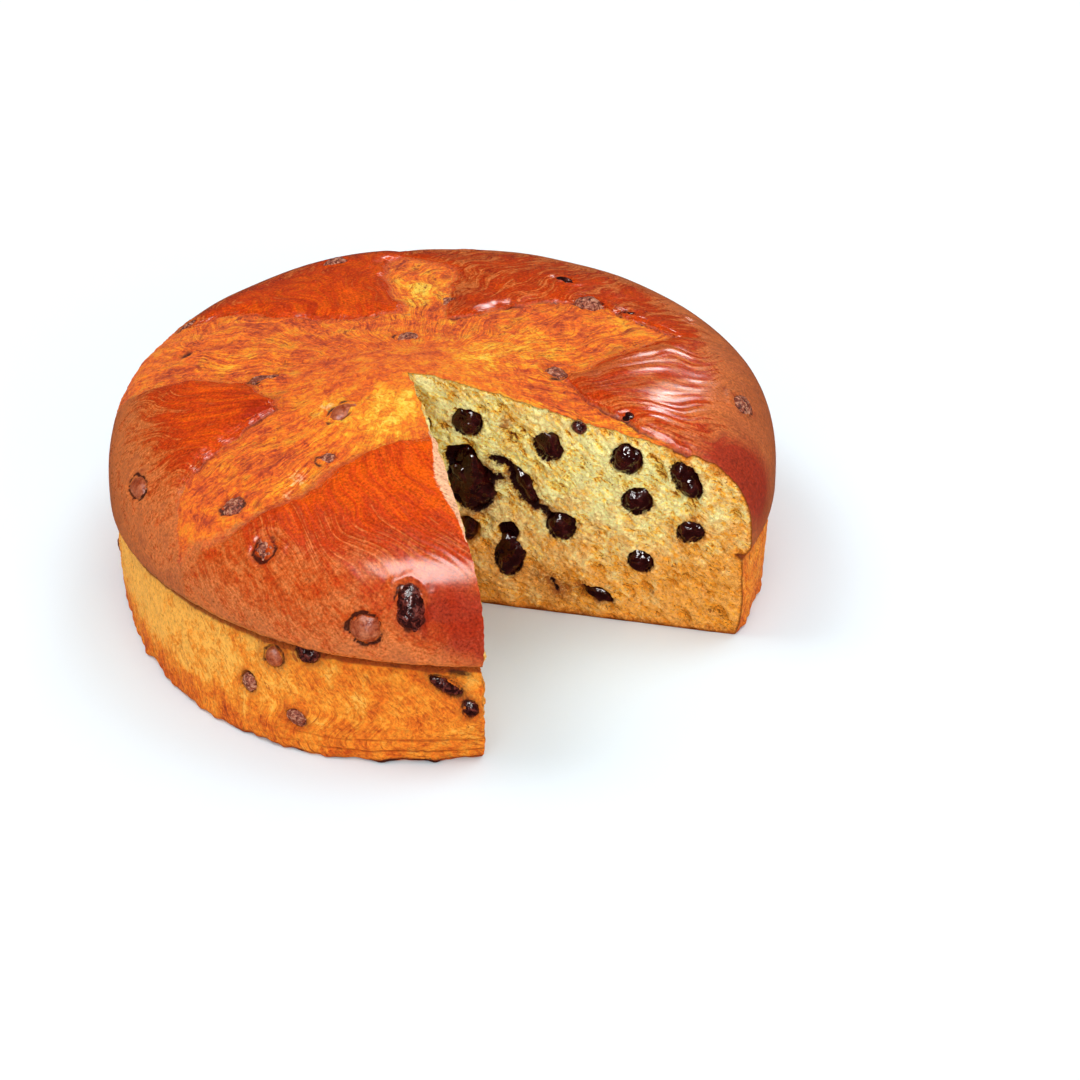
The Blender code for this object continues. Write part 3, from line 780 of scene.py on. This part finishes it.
def buildWall(material, crust):
    headings = np.linspace(loaf["notchTo"], loaf["notchFrom"] + 360, crustShape["columns"] + 1)
    cos, sin = rays(headings)
    rim = reach(headings, 1.0)
    middle = np.degrees(np.arctan2(axisY + sin[:, 0] * rim, axisX + cos[:, 0] * rim))
    seam = seamHeight(middle)
    foot = reach(headings, loaf["footInset"] + loaf["footSwell"] * swell(middle))
    top = reach(headings, loaf["wallTopInset"])
    crease = np.hypot(crust[:, 0, 0] - axisX, crust[:, 0, 1] - axisY)
    rows = wallShape["rows"]
    share = np.linspace(0, 1, rows + 1)
    low = loaf["footRound"]
    out = foot[:, None] + share * (top - foot)[:, None] + loaf["wallBulge"] * np.sin(np.pi * share)
    height = low + share * (seam - loaf["creaseDrop"] - low)[:, None]
    # The foot rounds in under the wall
    footTurn = np.radians(np.array((90, 60, 30)))
    footOut = foot[:, None] - low * (1 - np.cos(footTurn))
    footUp = low * (1 - np.sin(footTurn)) + 0 * foot[:, None]
    rings = np.array(wallShape["footRings"])
    floorOut = rings * (foot - low)[:, None]
    out = np.concatenate([floorOut, footOut, out, crease[:, None]], axis=1)
    height = np.concatenate([0 * floorOut, footUp, height, crust[:, 0, 2][:, None]], axis=1)
    shape = out.shape
    x, y = axisX + cos * out, axisY + sin * out
    girth = np.unwrap(np.radians(middle)) - np.radians(wallShape["girthFrom"])
    girth = girth[:, None] * wallShape["girthRadius"] + 0 * out
    frontFoot = hump(turnFrom(middle[:, None] + 0 * out, -92) / 22) * ramp((16 - height) / 12)
    lean = np.radians(wallShape["lean"]) * (1 - 0.8 * frontFoot)
    across = girth * np.sin(lean) + height * np.cos(lean)
    down = girth * np.cos(lean) - height * np.sin(lean)
    flow = stack(across, down, 0.0)
    points = stack(x, y, height)
    relief = wallShape["fibre"] * grain(flow, (2.6, 14, 1), 21)
    relief += 0.6 * wallShape["fibre"] * grain(flow, (1.4, 6, 1), 22)
    relief += wallShape["lump"] * grain(points, 9.0, 23)
    relief -= wallShape["pit"] * ramp((grain(points, 2.4, 24) - 0.35) / 0.3)
    layers = np.sin(height.ravel() * 1.9 + 2.2 * grain(points, (22, 22, 9), 25))
    relief -= wallShape["layer"] * ramp(layers * 3 - 2) * frontFoot.ravel()
    # Painted shade in the creases between the folds at the front foot
    crease = 0.9 * ramp(layers * 5 - 4) * frontFoot.ravel()
    rise = (seam[:, None] - height).ravel()
    # Painted shade under the lip: the wall is darkened just below the seam, and faintly a few millimetres
    # further
    crease = crease + 0.9 * hump(np.maximum(rise - 1.8, 0) / 0.6) + 0.15 * hump(rise / 7)
    # Burnt flakes at the foot are dark in their own colour; the wall's lowest 2.2 mm is also made darker
    burnt = ramp(0.2 + 1.8 * grain(points, (7, 7, 3), 28)) * ramp((2.6 - height.ravel()) / 2)
    crease = crease + 0.3 * ramp((2.2 - height.ravel()) / 2.2) + 0.6 * burnt
    # Painted shade in the gaps under the lip, with burnt flakes at the front foot
    scorchAndShade = 1.3 * spots(points, gapMarks) + 1.1 * burnt * frontFoot.ravel()
    relief -= 1.3 * spots(points, gapMarks)
    # Painted shade in the sunken ring round each drop on the wall
    for name in crustDropNames:
        shell = (dropShell(points, name) - 1) * 4
        relief -= 0.6 * hump((shell - 0.1) / 0.6)
        relief += 0.35 * hump((shell - 1.5) / 0.8)
        scorchAndShade += 0.95 * hump(shell / 0.6)
        crease += 0.35 * hump((shell - 1) / 1.6)
    fade = ramp(height / 1.5) * ramp((seam[:, None] - loaf["creaseDrop"] + 0.4 - height) / 1.5)
    relief = relief.reshape(shape) * fade
    out = out + relief
    # The foot is ragged where the dough met the paper
    footWave = stack(girth[:, :1], 0.0, 0.0)
    ragged = 1.0 * grain(footWave, 9.0, 26) + 0.8 * grain(footWave, 2.8, 27)
    for place, width, amount in wallShape["footTabs"]:
        ragged = ragged + amount * hump(turnFrom(middle, place) / width)
    out = out + ragged[:, None] * ramp((5 - height) / 5) * ramp(out / 60)
    x, y = axisX + cos * out, axisY + sin * out
    points = wander(stack(x, y, height)).reshape(shape + (3,))
    points[:, -1] = crust[:, 0]
    # Painted light: the wall is lighter and yellower round heading -150, where the light falls on it. It is
    # also a little lighter away from the foot
    yellow = 0.15 + 0.62 * hump(turnFrom(middle[:, None] + 0 * out, -150) / 30) * ramp((height - 4) / 14)
    yellow = yellow + 0.15 * ramp((height - 3) / 10) + 0.1 * frontFoot
    values = {"flow": flow, "yellow": yellow.ravel(), "crease": crease, "scorchAndShade": np.clip(scorchAndShade, 0, 1.2)}
    faces = gridFaces(shape[0] - 1, shape[1] - 1)
    piece = newPiece("goldenWall", points.reshape(-1, 3), faces, material, values)
    return piece, points


crumbShape = {
    "step": 0.36,
    "axisStep": 0.5,
    "broad": 0.9,
    "strand": 0.5,
    "cells": (((3.4, 1.9, 1), 1.0), ((1.6, 1.05, 1), 0.6)),     # size along and across the strands, and depth
    "fine": 0.2,
    "lean": -34,            # the strands run down to the right
    "pores": 300,
    "shadedFrom": 4,       # hollows deeper than this are painted near-black inside, as painted shade
}
# Hollows torn beside the drops: out, up, half wide, half high and depth
hollows = {
    "right": ((16.0, 53.0, 6.0, 4.5, 5.0), (31.0, 28.4, 3.8, 3.6, 4.5), (18.0, 27.5, 4.6, 5.0, 3.2),
              (6.1, 63.6, 1.3, 2.3, 2.6), (58.0, 9.0, 6.0, 3.0, 2.6), (26.5, 41.0, 3.0, 2.0, 2.0)),
    "left": ((24.0, 33.5, 4.5, 3.6, 4.0), (57.0, 18.0, 3.0, 2.0, 2.2), (33.0, 66.0, 2.6, 1.8, 2.0)),
}
stains = {
    "right": ((30.2, 66.4, 2.6, 1.0), (49.0, 8.8, 6.0, 0.8), (40.0, 14.0, 4.0, 0.6), (59.0, 34.0, 3.5, 0.5),
              (96.0, 60.0, 4.0, 0.5), (44.0, 42.0, 4.0, 0.5), (25.0, 35.0, 5.0, 0.4)),
    "left": ((60.0, 12.0, 5.0, 0.7), (30.0, 40.0, 3.0, 0.6), (70.0, 38.0, 3.0, 0.5)),
}
# Chocolate that the knife drew along the cut: half its width, then places on the cut as out and up
smears = {
    "right": ((1.3, (26.6, 54.5), (29.4, 53.7), (32.0, 52.0), (33.2, 48.5)),
              (1.9, (33.2, 48.5), (33.9, 45.0), (36.4, 41.6), (39.0, 39.8)),
              (1.1, (39.0, 39.8), (42.6, 38.2), (44.5, 36.0)), (1.4, (22.0, 49.5), (28.4, 47.4)),
              (1.0, (17.0, 30.5), (18.6, 26.0)), (0.9, (55.0, 11.0), (60.0, 7.5), (63.0, 6.5)),
              (0.8, (44.8, 12.6), (46.1, 9.0))),
    "left": ((1.2, (50.0, 22.0), (55.0, 19.0)), (0.9, (30.0, 60.0), (34.0, 57.0))),
}


def insideOutline(points, outline):
    inside = np.zeros(len(points), bool)
    gap = np.full(len(points), 1e9)
    for a, b in zip(outline, np.roll(outline, -1, axis=0)):
        crosses = (a[1] > points[:, 1]) != (b[1] > points[:, 1])
        if a[1] != b[1]:
            slope = (b[0] - a[0]) / (b[1] - a[1])
            inside ^= crosses & (points[:, 0] < a[0] + (points[:, 1] - a[1]) * slope)
        side = b - a
        share = np.clip((points - a) @ side / max(side @ side, 1e-12), 0, 1)
        gap = np.minimum(gap, np.linalg.norm(points - a - share[:, None] * side, axis=1))
    return inside, gap


def buildCrumb(name, side, material, edge):
    along, normal = cuts[side]
    rng = np.random.default_rng(11 if side == "right" else 12)
    outline = stack((edge - axisPoint) @ along, edge[:, 2])
    step = crumbShape["step"]
    wide, tall = outline.max(axis=0)
    gridX, gridY = np.meshgrid(np.arange(step, wide, step), np.arange(step, tall, step * 0.87))
    gridX = gridX + 0.5 * step * (np.arange(gridX.shape[0]) % 2)[:, None]
    flat = np.stack([gridX.ravel(), gridY.ravel()], axis=1)
    flat = flat + rng.uniform(-0.22, 0.22, (gridX.size, 2)) * step
    inside, gap = insideOutline(flat, outline)
    keep = inside & (gap > 0.6 * step)
    flat, gap = flat[keep], gap[keep]
    border = [(n, (n + 1) % len(outline)) for n in range(len(outline))]
    everything = [Vector(p) for p in np.concatenate([outline, flat]).tolist()]
    filled = geometry.delaunay_2d_cdt(everything, border, [], 1, 1e-6)
    sources = np.array([origins[0] for origins in filled[3]])
    faces = sources[np.array([list(corners) for corners in filled[2]])]

    seed = 31 if side == "right" else 41
    lean = np.radians(crumbShape["lean"])
    run = flat[:, 0] * np.cos(lean) + flat[:, 1] * np.sin(lean)
    off = -flat[:, 0] * np.sin(lean) + flat[:, 1] * np.cos(lean)
    bend = 5 * grain(stack(flat[:, 0], flat[:, 1], 0.0), 26, seed)
    strands = stack(run, off + bend, 0.0)
    plain = stack(flat[:, 0], flat[:, 1], 0.0)
    relief = crumbShape["broad"] * grain(plain, 9.0, seed + 1)
    relief += crumbShape["strand"] * ridges(strands, (6.5, 2.6, 1), seed + 2)
    for count, (size, depth) in enumerate(crumbShape["cells"]):
        inward, kind = cells(strands, size, seed + 1 + count)
        relief += depth * (0.25 - ramp(inward / 0.5) * ramp(kind * 2 - 0.7))
    relief += crumbShape["fine"] * grain(plain, 0.8, seed + 4)
    # Stretched pores, many small and a few large
    pit = np.zeros(len(flat))
    for _ in range(crumbShape["pores"]):
        middle = np.array((rng.uniform(3, wide), rng.uniform(1, tall)))
        size = 0.5 + 1.5 * rng.random() ** 3
        stretch = rng.uniform(1.2, 2.6)
        angle = lean + rng.normal(0, 0.45)
        depth = size * rng.uniform(0.5, 1.0)
        offset = flat - middle
        near = np.abs(offset).max(axis=1) < 3 * size * stretch
        part = offset[near]
        longWay = (part[:, 0] * np.cos(angle) + part[:, 1] * np.sin(angle)) / (size * stretch)
        crossWay = (-part[:, 0] * np.sin(angle) + part[:, 1] * np.cos(angle)) / size
        level = np.clip(1 - longWay**2 - crossWay**2, 0, 1)
        pit[near] = np.maximum(pit[near], depth * np.sqrt(level))
    smearAndShade = np.zeros(len(flat))
    for out, up, halfWide, halfHigh, depth in hollows[side]:
        rough = 1 + 0.35 * grain(plain, 2.2, seed + 6)
        wideWay, highWay = (flat[:, 0] - out) / halfWide, (flat[:, 1] - up) / halfHigh
        level = np.clip(1.2 - wideWay**2 - highWay**2, 0, 1)
        pit = np.maximum(pit, depth * ramp(level * rough))
        # Painted shade: the deepest hollows are filled with near-black
        if depth > crumbShape["shadedFrom"]:
            smearAndShade += 1.1 * ramp(level * rough * 2.2 - 0.5)
    relief -= pit
    position = axisPoint + flat[:, :1] * along + stack(0.0, 0.0, flat[:, 1])
    stain = np.zeros(len(flat))
    flecks = ramp((grain(plain, 1.0, seed + 8) + 0.15) / 0.4)
    for dropName in [n for n in dropNames if side + "_face" in n]:
        shell = dropShell(position, dropName)
        away = (shell - 1) * 5.5
        spikes = 0.5 + 0.5 * grain(plain, 1.1, seed + 7)
        relief += (0.8 * hump((away - 0.8) / 0.9) * spikes) - 0.5 * hump(np.maximum(away, 0) / 0.5)
        relief = np.where(away < 0, np.minimum(relief, -1.5), relief)
        stain += 0.55 * hump(np.maximum(away, 0) / 1.3)
        smearAndShade += hump(np.maximum(away, 0) / 0.4) * (0.7 + 0.3 * flecks)
    for out, up, radius, amount in stains[side]:
        stain += amount * hump(np.hypot(flat[:, 0] - out, flat[:, 1] - up) / radius)
    for half, *path in smears[side]:
        _, off = insideOutline(flat, np.array(path + path[-2:0:-1]))
        off = off + 0.8 * grain(plain, 1.4, seed + 9)
        smearAndShade += 1.1 * hump(np.maximum(off, 0) / half)
        stain += 0.6 * hump(np.maximum(off - half, 0) / 1.5)
        relief -= 1.1 * hump(np.maximum(off, 0) / half)
    relief *= ramp(gap / 1.6)
    # Painted shade: the lower the crumb lies, the darker the colour it is given
    hollowShade = np.clip(0.14 - 0.4 * relief, -0.35, 1.1)
    position = wander(position) + relief[:, None] * normal
    toast = 0.95 * ramp((56 - flat[:, 1]) / 46) + 0.3 * ramp((flat[:, 0] - 70) / 30) + 0.3 * hump(gap / 6)

    points = np.concatenate([edge, position])

    def withEdge(value, inner):
        return np.concatenate([np.full(len(outline), value), inner])

    # Under the torn valleys the crumb has hardly any rind
    everywhere = np.concatenate([outline, flat])
    bare = 2.2 * ramp((everywhere[:, 1] - 42) / 14) * (1 - ramp((everywhere[:, 0] - 70) / 16))
    rind = withEdge(0.0, gap) + bare
    rind = np.where(everywhere[:, 1] < 3, np.minimum(rind, 0.42 * everywhere[:, 1]), rind)
    values = {
        "flow": np.concatenate([stack(outline[:, 0], outline[:, 1], 0.0), strands]),
        "pit": withEdge(0.35, hollowShade),
        "rind": rind,
        "toast": withEdge(0.6, toast),
        "stain": withEdge(0.0, np.clip(stain, 0, 1.2)),
        "smearAndShade": withEdge(0.0, np.clip(smearAndShade, 0, 1.2)),
    }
    a, b, c = (points[faces[:, n]] for n in range(3))
    if (np.cross(b - a, c - a).sum(axis=0) @ normal) < 0:
        faces = faces[:, ::-1]
    return newPiece(name, points, faces, material, values)


def cutEdge(crust, wall, column):
    # Round the cut: along the floor, up the wall, over the dome to the peak, and down the axis
    skin = crust[column][1:]
    side = wall[column]
    peak = crust[column][-1]
    count = int(peak[2] / crumbShape["axisStep"])
    axis = axisPoint + np.linspace(1, 0, count + 1)[1:-1, None] * (peak - axisPoint)
    return np.concatenate([side, skin, axis])


def roundedSolid(name, levels):
    # The drop's own solid, smoothed by subdivision
    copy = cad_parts[name].data.copy()
    helper = bpy.data.objects.new("helper", copy)
    bpy.context.scene.collection.objects.link(helper)
    weld = helper.modifiers.new("weld", "WELD")
    weld.merge_threshold = 0.01 * mm
    rounder = helper.modifiers.new("rounder", "SUBSURF")
    rounder.levels = levels
    mesh = helper.evaluated_get(bpy.context.evaluated_depsgraph_get()).to_mesh()
    mesh.calc_loop_triangles()
    points = np.empty(len(mesh.vertices) * 3)
    mesh.vertices.foreach_get("co", points)
    faces = np.empty(len(mesh.loop_triangles) * 3, np.int32)
    mesh.loop_triangles.foreach_get("vertices", faces)
    bpy.data.objects.remove(helper)
    return points.reshape(-1, 3) / mm, faces.reshape(-1, 3)


chocolatePieces = bpy.data.collections.new("chocolatePieces")


def buildDrops(kindName):
    kind = dropKinds[kindName]
    allPoints, allFaces, count = [], [], 0
    for seed, name in enumerate(kind["names"]):
        points, faces = roundedSolid(name, 3)
        middle = (points.min(axis=0) + points.max(axis=0)) / 2
        radial = (points - middle) * kind["swell"]
        lump = 1 + kind["lump"] * grain(radial, kind["lumpSize"], seed + 50)
        lump += kind["grain"] * grain(radial, kind["grainSize"], seed + 51)
        allPoints.append(middle + radial * lump[:, None])
        allFaces.append(faces + count)
        count += len(points)
    material = bakedMaterial(chocolateLooks[kind["look"]])
    piece = newPiece(kindName, np.concatenate(allPoints), np.concatenate(allFaces), material)
    chocolatePieces.objects.link(piece)     # the glint lamps light only these
    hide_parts(*kind["names"])
    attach(piece, "root")


crustPiece, crustPoints = buildCrust(bakedMaterial(crustLook))
wallPiece, wallPoints = buildWall(bakedMaterial(wallLook), crustPoints)
crumbFinish = bakedMaterial(crumbLook)
crumbRight = buildCrumb("crumbRight", "right", crumbFinish, cutEdge(crustPoints, wallPoints, 0))
crumbLeft = buildCrumb("crumbLeft", "left", crumbFinish, cutEdge(crustPoints, wallPoints, -1))
for piece in (crustPiece, wallPiece, crumbRight, crumbLeft):
    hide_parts("bread")
    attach(piece, "root")
for kindName in dropKinds:
    buildDrops(kindName)
print("loaf built")

studio = {
    "floor": "#e6f1f7",
    "floorSize": 8.0,
    "floorRough": 0.9,
    "floorSpecular": 0.1,
    "world": 0.66,
    "worldGloss": 0.04,     # how bright the room is in reflections
    # Where from (heading, up), how wide in degrees, how strong, and whether it is a fill for matt things,
    # only a reflection, or a glint that only the chocolate takes
    "lights": {
        "top": (0, 87, 40, 0.2, "fill"),
        "topPanel": (-91, 69, 28, 3.1, "reflection"),
        "back": (74, 29, 14, 0.2, "fill"),
        "backPanel": (71, 29, 7, 0.24, "reflection"),
        "right": (36, 60, 26, 0.55, "fill"),
        "left": (165, 58, 26, 0.85, "fill"),
        "front": (-96, 20, 60, 1.1, "fill"),
        "notch": (-52, 12, 40, 0.85, "fill"),
        "highGlint": (-108, 54, 9, 1.2, "glint"),
        "lowGlint": (-100, 18, 9, 1.0, "glint"),
    },
}


def addStudio():
    mesh = bpy.data.meshes.new("floor")
    half = studio["floorSize"] / 2
    corners = [(-half, -half, 0), (half, -half, 0), (half, half, 0), (-half, half, 0)]
    mesh.from_pydata(corners, [], [(0, 1, 2, 3)])
    floor = bpy.data.objects.new("floor", mesh)
    bpy.context.scene.collection.objects.link(floor)
    material, _, shader = newMaterial("white studio sweep")
    shader.inputs["Base Color"].default_value = colour(studio["floor"])
    shader.inputs["Roughness"].default_value = studio["floorRough"]
    shader.inputs["Specular IOR Level"].default_value = studio["floorSpecular"]
    mesh.materials.append(material)
    floor.visible_glossy = False     # a mirrored white floor would veil the skin in pink haze
    for name, (heading, up, wide, strength, kind) in studio["lights"].items():
        light = bpy.data.lights.new(name, "SUN")
        light.energy = strength
        light.angle = math.radians(wide)
        lamp = bpy.data.objects.new(name, light)
        lamp.rotation_euler = (math.radians(90 - up), 0, math.radians(heading + 90))
        lamp.visible_glossy = kind != "fill"
        lamp.visible_diffuse = kind == "fill"
        if kind == "glint":
            lamp.light_linking.receiver_collection = chocolatePieces
        bpy.context.scene.collection.objects.link(lamp)
    world = bpy.data.worlds.new("white room")
    world.use_nodes = True
    bpy.context.scene.world = world
    tree = world.node_tree
    path = addNode(tree, "ShaderNodeLightPath").outputs
    background = tree.nodes["Background"]
    background.inputs["Color"].default_value = (1, 1, 1, 1)
    limits = {"Value": path["Is Glossy Ray"], "To Min": studio["world"], "To Max": studio["worldGloss"]}
    lit = addNode(tree, "ShaderNodeMapRange", limits).outputs[0]
    inputs = {0: lit, 1: path["Is Camera Ray"]}
    strength = addNode(tree, "ShaderNodeMath", inputs, operation="MAXIMUM").outputs[0]
    tree.links.new(strength, background.inputs["Strength"])


view = {
    "lens": 100,
    "sensor": 36,
    "eye": (0.0306, -0.8065, 0.5383),
    "downward": 33.523,
}


def addCamera():
    camera = bpy.data.cameras.new("camera")
    camera.lens = view["lens"]
    camera.sensor_width = view["sensor"]
    eye = bpy.data.objects.new("camera", camera)
    eye.location = view["eye"]
    eye.rotation_euler = (math.radians(90 - view["downward"]), 0, 0)
    bpy.context.scene.collection.objects.link(eye)
    bpy.context.scene.camera = eye


addStudio()
addCamera()
bpy.context.scene.view_settings.view_transform = "Standard"
print("studio ready")
